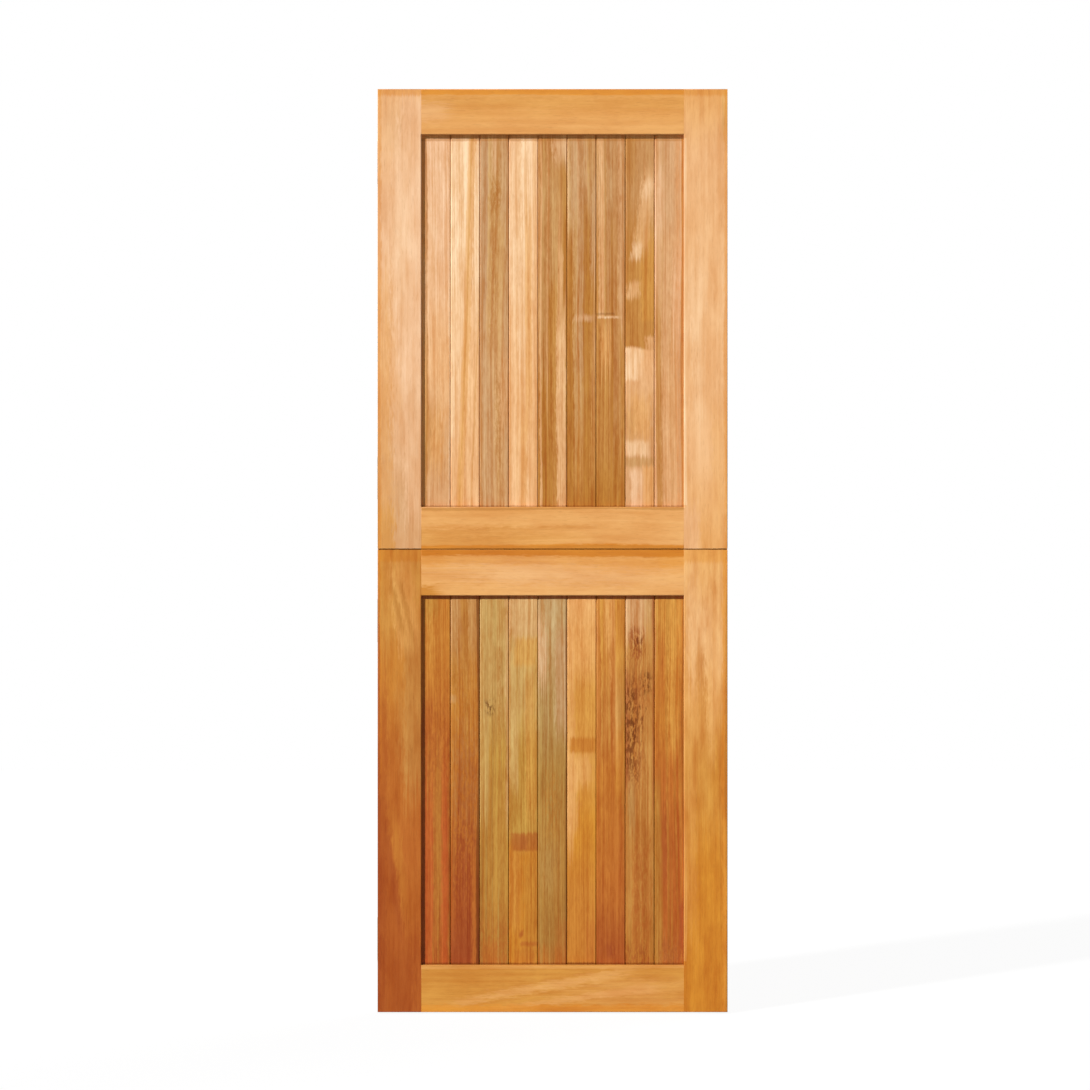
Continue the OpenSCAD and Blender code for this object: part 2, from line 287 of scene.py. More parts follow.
# A noise's stretch says how often it repeats in a metre: across, in depth and along the grain.
grain_noise = namedtuple("grain_noise", "stretch seed_offset detail roughness")
NOISES = {
    "broad": grain_noise((95, 95, 1.3), 0.0, 2.0, 0.55),
    "fine": grain_noise((400, 400, 4.2), 0.37, 3.0, 0.65),
    "speckle": grain_noise((280, 280, 50), 0.83, 3.0, 0.65),
    "blotches": grain_noise((52, 52, 15), 0.29, 4.0, 0.62),
    "broken": grain_noise((230, 230, 62), 0.71, 3.0, 0.7),
    "striped": grain_noise((150, 150, 0.9), 0.61, 3.0, 0.6),
    "pores": grain_noise((1500, 1500, 42), 0.53, 1.0, 0.5),
    "mottle": grain_noise((24, 24, 6), 0.19, 2.0, 0.5),
}


def blend(tree, share, under, over, kind="MIX"):
    """Mixes two colours and returns the mixed one."""
    node = tree.nodes.new("ShaderNodeMix")
    node.data_type = "RGBA"
    node.blend_type = kind
    for spot, feed in ((0, share), (6, under), (7, over)):
        join(tree, feed, node.inputs[spot])
    return node.outputs[2]


def sums(tree, operation, *feeds):
    """Does one step of arithmetic on numbers or sockets."""
    return add(tree, "Math", *feeds, operation=operation).outputs[0]


def step(tree, value, start, end, low=0.0, high=1.0):
    """Rises smoothly from low to high while the value goes from start to end."""
    return add(tree, "MapRange", value, start, end, low, high, interpolation_type="SMOOTHSTEP").outputs[0]


def cloud(tree, place, seed, noise):
    """Samples a noise that is stretched along the grain; the seed makes each piece its own tree."""
    drawn = add(tree, "VectorMath", place, noise.stretch, operation="MULTIPLY").outputs[0]
    made = add(tree, "TexNoise", drawn, seed + noise.seed_offset, 1.0, noise_dimensions="4D")
    fill(made, {"Detail": noise.detail, "Roughness": noise.roughness})
    return made.outputs[0]


print("noises:", ", ".join(NOISES))

# %% [markdown]
# ## Marks on the timber
# Besides its even grain, a board carries marks of its own: a pale stripe of sapwood, a brown streak, a
# patch of dark flecks, a glued finger joint. All of them are one thing to the shader: a soft-edged
# band with a place across and along the board, perhaps leaning, perhaps broken up by the grain. A
# painted picture could show them too, but bands stay sharp at any distance.

# %% Describe a mark
ALL = (-1, 2)
GAP_EDGES = {"broken": 0.05, "striped": 0.035}
GAP_START = 0.42
GAP_RANGE = 0.2
# Places run from 0 to 1 over the part that shows, and ALL reaches past both ends.
mark = namedtuple(
    "mark",
    "colour across along share lean soft fade broken striped",
    defaults=(ALL, ALL, 0.6, 0.0, 0.06, 0.05, 0.0, 0.0),
)


def band(tree, value, limits, softness):
    """Is 1 between two limits, with soft ends; a limit outside the piece costs no nodes."""
    low, high = limits
    rise = step(tree, value, low - softness, low + softness) if low > 0 else None
    fall = step(tree, value, high - softness, high + softness, 1.0, 0.0) if high < 1 else None
    if rise is None or fall is None:
        return rise or fall
    return sums(tree, "MULTIPLY", rise, fall)


def lay_mark(tree, grain, colour, drawn):
    """Lays one mark over the colours that lie under it."""
    across = grain["across"]
    if drawn.lean:
        middle = (drawn.along[0] + drawn.along[1]) / 2
        shift = sums(tree, "MULTIPLY_ADD", grain["along"], -drawn.lean, drawn.lean * middle)
        across = sums(tree, "ADD", across, shift)
    across = sums(tree, "MULTIPLY_ADD", grain["ragged across"], drawn.soft, across)
    along = sums(tree, "MULTIPLY_ADD", grain["ragged along"], drawn.fade, grain["along"])
    cover = drawn.share
    bands = [band(tree, across, drawn.across, drawn.soft)]
    bands.append(band(tree, along, drawn.along, drawn.fade))
    for noise, edge in GAP_EDGES.items():
        if getattr(drawn, noise):
            gaps = GAP_START + GAP_RANGE * getattr(drawn, noise)
            bands.append(step(tree, grain[noise], gaps - edge, gaps + edge))
    for part in bands:
        if part is not None:
            cover = sums(tree, "MULTIPLY", part, cover)
    return blend(tree, cover, colour, tone(drawn.colour))


print("marks are soft bands, straight or leaning")

# %% [markdown]
# ## The timber material
# The layers go on in the order in which a painter would glaze them: the ground tones along the
# length, the marks, the streaks that darken and warm all of it, then the pores. The same streaks
# and pores feed a slight bump, and they vary the gloss of the satin varnish.

# %% Build the timber material
STREAK_DARK = (0.87, 0.77, 0.66)
STREAK_LIGHT = (1.07, 1.19, 1.34)
STREAK_RANGE = (0.42, 0.58)
BOARD_MIX = {"broad": 0.30, "fine": 0.32, "speckle": 0.18, "blotches": 0.20}
FRAME_MIX = {"broad": 0.20, "fine": 0.10, "speckle": 0.10, "blotches": 0.22, "mottle": 0.38}
RAGGED = (5.0, -2.5)
UNEVEN = 0.04
RING_STRETCH = (1, 1.6, 0.045)
RING_STEP = 0.012
RING_DEPTH = 0.05
RING_WAVE = {"Scale": 26.0, "Distortion": 3.5, "Detail": 2.0, "Detail Scale": 1.2}
PORE_RANGE = (0.60, 0.70)
PORE_SHARE = 0.35
PORE_DEPTH = 0.7
PORE_DARK = (0.60, 0.47, 0.34, 1)
END_GRAIN = (0.62, 0.52, 0.42, 1)
CUT_FROM = 0.0008
CUT_FULL = 0.0004
GLOSS = (0.3, 0.7, 0.36, 0.52)
GRAIN_BUMP = {"Strength": 0.3, "Distance": 0.0004}
SATIN = {"Specular IOR Level": 0.16, "Coat Weight": 0.06, "Coat Roughness": 0.28}


def lay_grain(tree, runs_up, limits_across, limits_along, seed):
    """Makes the coordinates of the grain and the noises that all layers share."""
    place = add(tree, "SeparateXYZ", add(tree, "TexCoord").outputs["Object"]).outputs
    along, across = (place[2], place[0]) if runs_up else (place[0], place[2])
    slow = add(tree, "CombineXYZ", sums(tree, "MULTIPLY", along, BEND_PACE), float(seed), place[1])
    bend = add(tree, "TexNoise", slow.outputs[0])
    fill(bend, BEND_NOISE)
    shift = sums(tree, "MULTIPLY_ADD", bend.outputs[0], 2 * WANDER, -WANDER)
    bent = sums(tree, "ADD", across, shift)
    point = add(tree, "CombineXYZ", bent, place[1], along).outputs[0]
    wide = limits_across[1] - limits_across[0]
    long = limits_along[1] - limits_along[0]
    grain = {name: cloud(tree, point, seed, noise) for name, noise in NOISES.items()}
    grain["ragged along"] = sums(tree, "MULTIPLY_ADD", grain["fine"], *RAGGED)
    grain["ragged across"] = sums(tree, "MULTIPLY_ADD", grain["speckle"], *RAGGED)
    grain["across"] = sums(tree, "MULTIPLY_ADD", bent, 1 / wide, -limits_across[0] / wide)
    grain["along"] = sums(tree, "MULTIPLY_ADD", along, 1 / long, -limits_along[0] / long)
    grain["height"] = place[2]
    grain["point"] = point
    return grain


def ground(tree, grain, stops):
    """Runs through the ground tones along the grain, unevenly, as a tree does."""
    uneven = sums(tree, "MULTIPLY_ADD", grain["mottle"], 2 * UNEVEN, -UNEVEN)
    ramp = add(tree, "ValToRGB", sums(tree, "ADD", grain["along"], uneven))
    ramp.color_ramp.interpolation = "EASE"
    elements = ramp.color_ramp.elements
    while len(elements) < len(stops):
        elements.new(0.5)
    for element, (place, colour) in zip(elements, stops):
        element.position = place
        element.color = tone(colour)
    return ramp.outputs[0]


def tinted(shade, strength):
    """Weakens a multiplying tint towards plain white."""
    return tuple(1 - (1 - part) * strength for part in shade) + (1.0,)


def timber(
    name, runs_up, limits_across, limits_along, stops, marks, seed, mix, streaks, figure=0.0, ends=None
):
    """Makes the varnished timber of one piece."""
    material = bpy.data.materials.new(name)
    material.use_nodes = True
    tree = material.node_tree
    tree.nodes.clear()
    grain = lay_grain(tree, runs_up, limits_across, limits_along, seed)
    colour = ground(tree, grain, stops)
    for drawn in marks:
        colour = lay_mark(tree, grain, colour, drawn)
    mixed = 0.0
    for noise, share in mix.items():
        mixed = sums(tree, "MULTIPLY_ADD", grain[noise], share, mixed)
    light = add(tree, "MapRange", mixed, *STREAK_RANGE, 0.0, 1.0).outputs[0]
    tint = blend(tree, light, tinted(STREAK_DARK, streaks), tinted(STREAK_LIGHT, streaks))
    colour = blend(tree, 1.0, colour, tint, "MULTIPLY")
    if figure:
        stretched = add(tree, "VectorMath", grain["point"], RING_STRETCH, operation="MULTIPLY")
        heart = -limits_across[0] - RING_STEP * (seed % 3)
        offset = (heart, RING_DEPTH, -RING_STRETCH[2] * limits_along[0])
        moved = add(tree, "VectorMath", stretched.outputs[0], offset, operation="ADD").outputs[0]
        rings = add(tree, "TexWave", moved, wave_type="RINGS", rings_direction="SPHERICAL")
        fill(rings, RING_WAVE)
        ring = add(tree, "MapRange", rings.outputs[1], 0.0, 1.0, 0.0, figure).outputs[0]
        colour = blend(tree, ring, colour, tinted(STREAK_DARK, 1.0), "MULTIPLY")
    pores = step(tree, grain["pores"], *PORE_RANGE)
    colour = blend(tree, sums(tree, "MULTIPLY", pores, PORE_SHARE), colour, PORE_DARK, "MULTIPLY")
    if ends:
        head = step(tree, grain["height"], ends[1] - CUT_FROM, ends[1] - CUT_FULL)
        foot = step(tree, grain["height"], ends[0] + CUT_FULL, ends[0] + CUT_FROM, 1.0, 0.0)
        colour = blend(tree, sums(tree, "MAXIMUM", head, foot), colour, END_GRAIN, "MULTIPLY")
    gloss = add(tree, "MapRange", grain["fine"], *GLOSS).outputs[0]
    hollow = sums(tree, "SUBTRACT", grain["fine"], sums(tree, "MULTIPLY", pores, PORE_DEPTH))
    bump = add(tree, "Bump")
    fill(bump, GRAIN_BUMP)
    join(tree, hollow, bump.inputs["Height"])
    varnish = add(tree, "BsdfPrincipled", colour)
    join(tree, gloss, varnish.inputs["Roughness"])
    join(tree, bump.outputs[0], varnish.inputs["Normal"])
    fill(varnish, SATIN)
    add(tree, "OutputMaterial", varnish.outputs[0])
    return material


print("timber recipe ready")

# %% [markdown]
# ## Easing the arrises
# A joiner takes the sharp arris off every edge with a few strokes of fine paper, so edges catch a thin
# line of light. A bevel modifier could do it, but only some edges are eased: those on the
# faces, and not the tenons and grooves inside. A copy of the imported mesh is welded, its flat
# triangles are dissolved, and a bevel runs along the chosen edges: wider round the outside of the
# door, fine at the openings and at the seam. Where two bevels meet they can leave slivers too thin
# to see, and those are dissolved before the mesh is written. The imported record says which body a piece
# rides on.

# %% Ease a copy of a imported piece
WELD = 1e-6
FLAT = radians(0.5)
SHARP = radians(20)
OUTER_ARRIS = 0.0014
INNER_ARRIS = 0.0004
NEAR = 0.0002
SLIVER = 1e-5
SQUARE = radians(35)

body_of = {}
for body, members in frame["record"]["behaviour"]["bodies"].items():
    body_of.update({member: body for member in members})


def welded_copy(node_name):
    """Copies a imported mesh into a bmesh, welds its triangles and joins those that are flat."""
    shape = bmesh.new()
    shape.from_mesh(frame["nodes"][node_name].data)
    bmesh.ops.remove_doubles(shape, verts=shape.verts[:], dist=WELD)
    bmesh.ops.dissolve_limit(
        shape, angle_limit=FLAT, verts=shape.verts[:], edges=shape.edges[:], delimit={"NORMAL"}
    )
    return shape


def ease(shape, edges, width, segments):
    """Bevels the edges and shades the new strips smooth."""
    if not edges:
        return
    made = bmesh.ops.bevel(
        shape, geom=edges, offset=width, offset_type="OFFSET", segments=segments, profile=0.5,
        affect="EDGES", material=-1, clamp_overlap=True
    )
    for face in made["faces"]:
        face.smooth = True


def sharp_edges(shape):
    """Lists the edges where two faces meet at a convex corner."""
    kept = []
    for edge in shape.edges:
        if len(edge.link_faces) == 2 and edge.is_convex and edge.calc_face_angle(0) > SHARP:
            kept.append(edge)
    return kept


def on_plane(edge, axis, values):
    """Says whether both ends of an edge lie on one of some planes across an axis."""
    for value in values:
        if all(abs(vert.co[axis] - value) < NEAR for vert in edge.verts):
            return True
    return False


def make_piece(node_name, shape, material):
    """Turns a bmesh into a piece that rides on the node's body, and stands for it."""
    name = f"{node_name}_eased"
    body = body_of[node_name]
    bmesh.ops.dissolve_degenerate(shape, dist=SLIVER, edges=shape.edges[:])
    mesh = bpy.data.meshes.new(name)
    shape.to_mesh(mesh)
    shape.free()
    mesh.materials.append(material)
    piece = bpy.data.objects.new(name, mesh)
    bpy.context.scene.collection.objects.link(piece)
    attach(piece, body)
    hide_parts(node_name)
    return piece


print("arrises:", OUTER_ARRIS, "m outside,", INNER_ARRIS, "m inside")

# %% [markdown]
# ## Where each piece shows
# Marks are placed on the part of a board that shows, and its tongues and ends are out of sight in the
# grooves. Sizes could be typed in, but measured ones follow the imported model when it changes, so the
# openings are measured between the stiles and the rails.

# %% Measure the openings
BOARDS = 9
opening_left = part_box("top_leaf_hinge_stile")[1].x
opening_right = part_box("top_leaf_closing_stile")[0].x
opening_heights = {
    "bottom_leaf": (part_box("bottom_rail")[1].z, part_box("lower_meeting_rail")[0].z),
    "top_leaf": (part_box("upper_meeting_rail")[1].z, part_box("top_rail")[0].z),
}
board_width = (opening_right - opening_left) / BOARDS
board_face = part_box("top_leaf_board_5")[1].y
frame_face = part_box("top_rail")[1].y
print("each board shows", round(board_width * 1000, 1), "mm; faces at", board_face, frame_face)

# %% [markdown]
# ## Dressing a board or a frame member
# All timber goes through the same steps: a welded copy, eased edges and a material of its own. Each leaf
# also has a few marks that all its boards get: painted shade along the top and the foot of its opening,
# and on the top leaf a paler painted band inside the top one, as painted light. Two functions hold the
# steps, and the cells after this one only list what is special about each piece.

# %% Steps for boards and frame members
SEED_STEP = 7
TOP_LEAF_SEED = 100
# Painted shade and painted light for all the boards of a leaf, at the top and foot of the opening. Top
# leaf: caramel widens the rail's shadow as painted shade, honey inside it pales that shadow as painted
# light, and umber at the foot is painted shade. Bottom leaf: russet is painted shade that reddens the
# rail's shadow, and umber at the foot is painted shade.
PANEL_PAINTED_SHADE_AND_LIGHT = {
    "top_leaf": [
        mark("caramel", along=(0.9835, 2), share=0.5, fade=0.002),
        mark("honey", along=(0.9915, 2), share=0.9, fade=0.001),
        mark("umber", along=(-1, 0.004), share=0.45, fade=0.002),
    ],
    "bottom_leaf": [
        mark("russet", along=(0.991, 2), share=0.75, fade=0.001),
        mark("umber", along=(-1, 0.005), share=0.6, fade=0.002),
    ],
}


def dress_board(leaf, number, stops, marks, streaks=1.15):
    """Eases the vee of one board and gives it its own timber."""
    node_name = f"{leaf}_board_{number}"
    shape = welded_copy(node_name)
    vees = [edge for edge in sharp_edges(shape) if on_plane(edge, 1, (-board_face, board_face))]
    ease(shape, vees, INNER_ARRIS, 2)
    start = opening_left + (number - 1) * board_width
    seed = number * SEED_STEP + (TOP_LEAF_SEED if leaf == "top_leaf" else 0)
    # Each board also gets its leaf's painted shade and painted light at the top and foot of the opening.
    wood = timber(
        f"{node_name}_timber", True, (start, start + board_width), opening_heights[leaf], stops,
        marks + PANEL_PAINTED_SHADE_AND_LIGHT[leaf], seed, BOARD_MIX, streaks
    )
    piece = make_piece(node_name, shape, wood)
    print(node_name, "has", len(piece.data.polygons), "faces")


def dress_frame(node_name, runs_up, stops, marks, seed, streaks, figure):
    """Eases the arrises of a stile or a rail, wider round the outside, and gives it its timber."""
    low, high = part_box(node_name)
    shape = welded_copy(node_name)
    outer_x = (cad_high.x, -cad_high.x)
    outer_z = (cad_low.z, cad_high.z)
    on_face = [edge for edge in sharp_edges(shape) if on_plane(edge, 1, (-frame_face, frame_face))]
    outer = [edge for edge in on_face if on_plane(edge, 0, outer_x) or on_plane(edge, 2, outer_z)]
    ease(shape, outer, OUTER_ARRIS, 3)
    on_face = [edge for edge in sharp_edges(shape) if on_plane(edge, 1, (-frame_face, frame_face))]
    inner = [edge for edge in on_face if edge.calc_face_angle(0) > SQUARE]
    ease(shape, inner, INNER_ARRIS, 1)
    across = (low.x, high.x) if runs_up else (low.z, high.z)
    along = (low.z, high.z) if runs_up else (opening_left, opening_right)
    wood = timber(
        f"{node_name}_timber", runs_up, across, along, stops, marks, seed, FRAME_MIX, streaks, figure,
        (low.z, high.z) if runs_up else None
    )
    piece = make_piece(node_name, shape, wood)
    print(node_name, "has", len(piece.data.polygons), "faces")


# Counts each leaf's marks of painted shade and painted light.
for leaf, painted_shade_and_light in PANEL_PAINTED_SHADE_AND_LIGHT.items():
    print(leaf, "has", len(painted_shade_and_light), "marks of gathered varnish")

# %% [markdown]
# ## The frame of the top leaf
# Two upright stiles run the full height of the leaf and two rails are tenoned between them. The timber
# is pale, and along the outer edges, where the varnish has been brushed twice, it glows orange. The grain
# turns with each member, so every stile and rail is drawn along its own length, with its own list.

# %% Dress the top leaf's frame
dress_frame("top_leaf_hinge_stile", True, [
    (0, "biscuit"), (0.2, "biscuit"), (0.42, "shell"), (0.8, "shell"), (1, "peach")], [
    mark("honey", (0.05, 0.32), (-1, 0.5), 0.5, soft=0.12, fade=0.15),
    mark("fawn", (0.45, 0.7), (0.04, 0.14), 0.3, soft=0.12, fade=0.06),
    mark("cream", (0.3, 0.75), (0.5, 0.8), 0.3, lean=0.2, soft=0.15, fade=0.15),
    mark("biscuit", (0.1, 0.6), (0.86, 0.97), 0.4, lean=1.0, soft=0.12, fade=0.03),
    mark("petal", (0.2, 0.5), (0.28, 0.5), 0.5, lean=-0.8, soft=0.1),
    mark("gold", (-1, 0.38), (-1, 0.1), soft=0.1, fade=0.03),
    mark("honey", (-1, 0.3), (0.28, 0.62), 0.45, soft=0.1, fade=0.06),
    mark("peach", (-1, 0.34), (0.78, 0.92), 0.5, soft=0.08, fade=0.04),
    mark("shell", (0.62, 2), (0.08, 0.32), 0.65, soft=0.1, fade=0.04),
    mark("shell", (0.34, 0.7), (0.18, 0.32), 0.5, soft=0.1, fade=0.04),
    mark("shell", (0.5, 2), (0.88, 0.985), 0.75, soft=0.12, fade=0.03),
    mark("orange", (-1, 0.08), ALL, 0.5, soft=0.03),
    mark("orange", ALL, (0.986, 2), fade=0.004),
], seed=11, streaks=0.8, figure=0.10)
dress_frame("top_leaf_closing_stile", True, [
    (0, "apricot"), (0.25, "peach"), (0.5, "petal"), (0.65, "petal"), (0.85, "peach"), (1, "apricot")], [
    mark("cream", (0.25, 0.5), (0.3, 0.64), 0.35, lean=0.25, soft=0.1, fade=0.1),
    mark("honey", (0.64, 2), (0.08, 0.32), 0.4, soft=0.1),
    mark("shell", (-1, 0.34), (-1, 0.1), 0.5, soft=0.08, fade=0.03),
    mark("cream", (-1, 0.34), (0.46, 0.62), 0.45, soft=0.08),
    # Painted highlight along the inner edge by the opening, where the chamfer would catch the light.
    mark("cream", (-1, 0.06), (0.105, 0.895), soft=0.008, fade=0.001),
    mark("mustard", (0.88, 2), (0.9, 0.985), 0.4, soft=0.04),
    mark("orange", (0.93, 2), ALL, 0.5, soft=0.03),
    mark("orange", ALL, (0.986, 2), 0.55, fade=0.004),
], seed=17, streaks=0.8, figure=0.10)
dress_frame("top_rail", False, [(0, "honey"), (1, "honey")], [
    mark("gold", (0.55, 0.86), ALL, 0.4, soft=0.14),
    mark("apricot", (-1, 0.32), ALL, 0.5, soft=0.1),
    mark("peach", (0.3, 0.7), (-1, 0.1), 0.5, soft=0.1, fade=0.04),
    mark("orange", (0.87, 2), ALL, 0.9, soft=0.02),
], seed=23, streaks=0.55, figure=0.06)
dress_frame("upper_meeting_rail", False, [(0, "honey"), (0.4, "honey"), (1, "apricot")], [
    mark("apricot", (0.6, 0.95), ALL, 0.5, soft=0.1),
    mark("gold", (0.1, 0.5), (-1, 0.45), 0.4, soft=0.14, fade=0.2),
    mark("ginger", (0.5, 0.58), (0.1, 0.62), 0.3, lean=0.1, soft=0.04, fade=0.1),
    mark("orange", (-1, 0.2), ALL, 0.95, soft=0.02),
    mark("caramel", (-1, 0.172), (0.1, 2), 0.3, soft=0.008),
    # Painted shade along the top edge, by the foot of the opening.
    mark("toffee", (0.94, 2), soft=0.008),
], seed=29, streaks=0.65, figure=0.08)

# %% [markdown]
# ## The boards of the top leaf
# From left to right the boards go from peach and cream to brown and back to a pinkish tan. One picture of
# wood over all of them would repeat and blur, so each board has its own ground tones and its own marks.
# The first three are plain, with soft stripes.

# %% Dress the top leaf's left boards
dress_board("top_leaf", 1, [
    (0, "biscuit"), (0.2, "biscuit"), (0.4, "peach"), (0.7, "shell"), (1, "shell")], [
    mark("honey", (0.1, 0.78), (0.10, 0.27), 0.55, soft=0.18),
    mark("caramel", (0.1, 0.36), (0.1, 0.27), 0.3, soft=0.1, fade=0.04),
    mark("petal", (0.62, 2), (0.22, 0.4), soft=0.08),
    # Painted shadow down the left edge beside the stile (caramel), with painted light (honey) that pales
    # its core.
    mark("caramel", (-1, 0.21), ALL, 0.7, soft=0.015),
    mark("honey", (-1, 0.13), ALL, 0.9, soft=0.015),
    mark("cream", (0.15, 0.5), (0.5, 0.85), 0.3, lean=0.3, soft=0.12, fade=0.15),
    mark("peach", (0.3, 0.8), (0.42, 0.52), 0.4, lean=-0.8, soft=0.12),
    mark("cream", (0.93, 2), ALL, 0.35, soft=0.03),
])
dress_board("top_leaf", 2, [(0, "peach"), (0.35, "petal"), (0.7, "cream"), (1, "cream")], [
    mark("peach", (0.6, 2), (-1, 0.6), lean=0.45, fade=0.2),
    mark("cream", (-1, 0.36), (0.2, 0.5), soft=0.08, fade=0.1),
    mark("cream", (0.66, 2), (0.88, 2), 0.45, fade=0.03),
    mark("honey", (0.42, 0.67), ALL, 0.65, lean=0.45, soft=0.035),
    mark("gold", (0.50, 0.56), ALL, 0.5, lean=0.45, soft=0.02),
    mark("gold", (0.62, 0.66), (-1, 0.7), 0.45, lean=0.45, soft=0.02, fade=0.1),
    mark("apricot", (0.28, 0.34), (-1, 0.5), 0.5, lean=0.2, soft=0.03, fade=0.1),
])
dress_board("top_leaf", 3, [(0, "tan"), (1, "tan")], [
    mark("biscuit", ALL, (-1, 0.6), 0.45, fade=0.2),
    mark("toffee", share=0.3, striped=0.5),
    mark("fawn", (-1, 0.26), (0.4, 2), 0.85, soft=0.03, fade=0.2),
    mark("fawn", (0.86, 2), ALL, 0.5),
    mark("shell", (0.4, 0.55), (0.9, 2), 0.4),
    mark("fawn", (0.66, 2), (0.76, 2), 0.5),
    mark("peach", (0.66, 2), (0.22, 0.4), 0.4),
    mark("toffee", (0.32, 0.62), (0.45, 0.82), 0.5, soft=0.1, broken=0.3),
    mark("caramel", (0.3, 0.72), (0.80, 0.90), soft=0.1, fade=0.03, broken=0.3),
    mark("caramel", (0.5, 0.75), (0.05, 0.36), 0.4, soft=0.08, broken=0.4),
    mark("fawn", (0.1, 0.45), (-1, 0.4), 0.4, soft=0.1, fade=0.1),
], streaks=1.6)

# %% [markdown]
# ## The middle boards of the top leaf
# The fourth board is pale with one honey stripe, and the fifth and sixth are brown with many broken ones.
# Noise that is stretched along the grain draws those better than a long list of single stripes would.

# %% Dress the top leaf's middle boards
dress_board("top_leaf", 4, [(0, "petal"), (0.35, "petal"), (0.85, "cream"), (1, "cream")], [
    mark("apricot", (0.30, 0.45), (0.7, 2), 0.3),
    mark("honey", (0.40, 0.62), (-1, 0.26), 0.55),
    mark("peach", (0.79, 2), soft=0.03),
    mark("honey", (0.57, 0.79), (0.24, 0.82), 0.62, soft=0.03, fade=0.10),
    mark("peach", (-1, 0.36), (0.75, 2), 0.5, fade=0.03),
    mark("cream", (0.3, 0.57), (0.36, 0.52), 0.45),
    mark("apricot", share=0.3, striped=0.65),
])
dress_board("top_leaf", 5, [(0, "toffee"), (1, "toffee")], [
    mark("caramel", (0.15, 0.5)),
    mark("caramel", share=0.7, striped=0.45),
    mark("tan", (-1, 0.32), (0.36, 0.9)),
    mark("tan", (0.32, 0.68), (0.6, 0.9), 0.75),
    mark("petal", (0.64, 0.96), (-1, 0.53), 0.75, soft=0.03, fade=0.06),
    mark("peach", (0.68, 0.86), (0.55, 0.85), 0.55, soft=0.03, fade=0.06),
    mark("tan", ALL, (0.8, 2), 0.5, fade=0.1),
    mark("shell", (0.5, 2), (0.93, 2), 0.4, soft=0.15, fade=0.03),
    mark("peach", (0.06, 0.13), soft=0.02),
    mark("peach", (0.30, 0.36), (0.3, 2), 0.4, soft=0.02, fade=0.1),
    mark("caramel", (0.75, 2), (0.70, 0.92), fade=0.03),
], streaks=1.6)
dress_board("top_leaf", 6, [
    (0, "caramel"), (0.12, "toffee"), (0.6, "toffee"), (0.82, "tan"), (1, "tan")], [
    mark("fawn", (0.1, 0.7), (0.78, 2), 0.5, soft=0.1),
    mark("biscuit", along=(0.3, 2), share=0.6, fade=0.15, striped=0.55),
    mark("tan", (0.23, 0.56), (0.2, 0.75), 0.7, fade=0.1),
    mark("fawn", (0.8, 2), (0.62, 2), 0.5),
    mark("fawn", (0.36, 0.6), (0.36, 0.76), 0.5),
    mark("caramel", (0.68, 2), (0.48, 0.62), 0.45),
    mark("toffee", (0.68, 2), (0.88, 2), 0.45),
    mark("caramel", (0.56, 0.80), (-1, 0.82), 0.75, soft=0.04, fade=0.06),
    mark("caramel", (-1, 0.22), (-1, 0.74), 0.8, soft=0.04, fade=0.08),
    mark("ginger", (0.36, 0.42), (-1, 0.6), 0.4, soft=0.02, fade=0.08),
    mark("shell", (0.25, 0.95), (0.500, 0.516), 0.35, soft=0.15, fade=0.006),
], streaks=1.6)

# %% [markdown]
# ## The right boards of the top leaf
# The seventh board has a thin cross line where two lengths were glued. The eighth was glued up from short
# ends, so it changes colour in blocks, and its pale marks lean, as the figure does beside a branch.

# %% Dress the top leaf's right boards
dress_board("top_leaf", 7, [(0, "caramel"), (0.2, "toffee"), (0.65, "toffee"), (0.9, "tan")], [
    mark("fawn", (0.3, 2), (0.55, 2), 0.4, fade=0.12),
    mark("petal", (0.08, 0.27), (0.51, 2), 0.75, soft=0.03, fade=0.005),
    mark("apricot", (0.14, 0.50), (0.37, 0.50), 0.7, soft=0.04),
    mark("caramel", (0.50, 0.74), (-1, 0.8), 0.72, soft=0.03),
    mark("biscuit", along=(0.2, 2), share=0.5, fade=0.15, striped=0.6),
    mark("caramel", share=0.4, striped=0.55),
    mark("biscuit", (0.76, 0.94), (0.5, 2), soft=0.04),
    mark("caramel", (0.30, 0.36), (0.5, 2), 0.4, soft=0.02),
    mark("umber", (-1, 0.62), (0.516, 0.522), 0.35, fade=0.002),
    mark("cream", (0.05, 0.8), (0.507, 0.513), 0.55, soft=0.1, fade=0.002),
], streaks=1.6)
dress_board("top_leaf", 8, [
    (0, "biscuit"), (0.2, "biscuit"), (0.42, "peach"), (0.43, "toffee"), (1, "toffee")], [
    mark("fawn", ALL, (0.78, 2), 0.4, fade=0.08),
    mark("caramel", (-1, 0.17), (0.5, 2), 0.45),
    mark("caramel", (-1, 0.36), (0.88, 2), 0.45),
    mark("gold", (0.55, 2), (0.45, 0.75), 0.5),
    mark("toffee", ALL, (0.428, 0.5), 0.8, fade=0.006),
    mark("petal", (0.5, 0.95), (0.79, 0.90), 0.55, lean=1.6, soft=0.12, fade=0.03),
    mark("cream", (0.6, 0.85), (0.83, 0.88), 0.5, lean=1.6, soft=0.12, fade=0.015),
    mark("petal", (0.35, 0.8), (0.68, 0.80), 0.45, lean=1.2, soft=0.12, fade=0.03),
    mark("cream", (0.22, 0.52), (0.667, 0.71), lean=1.6, soft=0.08, fade=0.012),
    mark("petal", (0.05, 0.5), (0.563, 0.605), lean=2.0, soft=0.1, fade=0.010),
    mark("peach", (0.72, 2), (0.40, 0.458), 0.65, soft=0.08, fade=0.006),
    mark("cream", (-1, 0.5), (0.34, 0.428), 0.8, lean=1.2, soft=0.12, fade=0.006),
    mark("honey", (0.1, 0.9), (0.18, 0.30), soft=0.2, fade=0.03),
    mark("cream", (-1, 0.8), (0.137, 0.177), soft=0.1, fade=0.008),
    mark("toffee", (-1, 0.36), (0.18, 0.26), 0.35, soft=0.1, fade=0.03),
    mark("shell", (0.15, 0.72), (-1, 0.1), 0.65, fade=0.01),
    mark("tan", ALL, (0.108, 0.132), 0.8, fade=0.006),
    mark("apricot", (0.6, 2), (-1, 0.108), 0.7, fade=0.01),
])
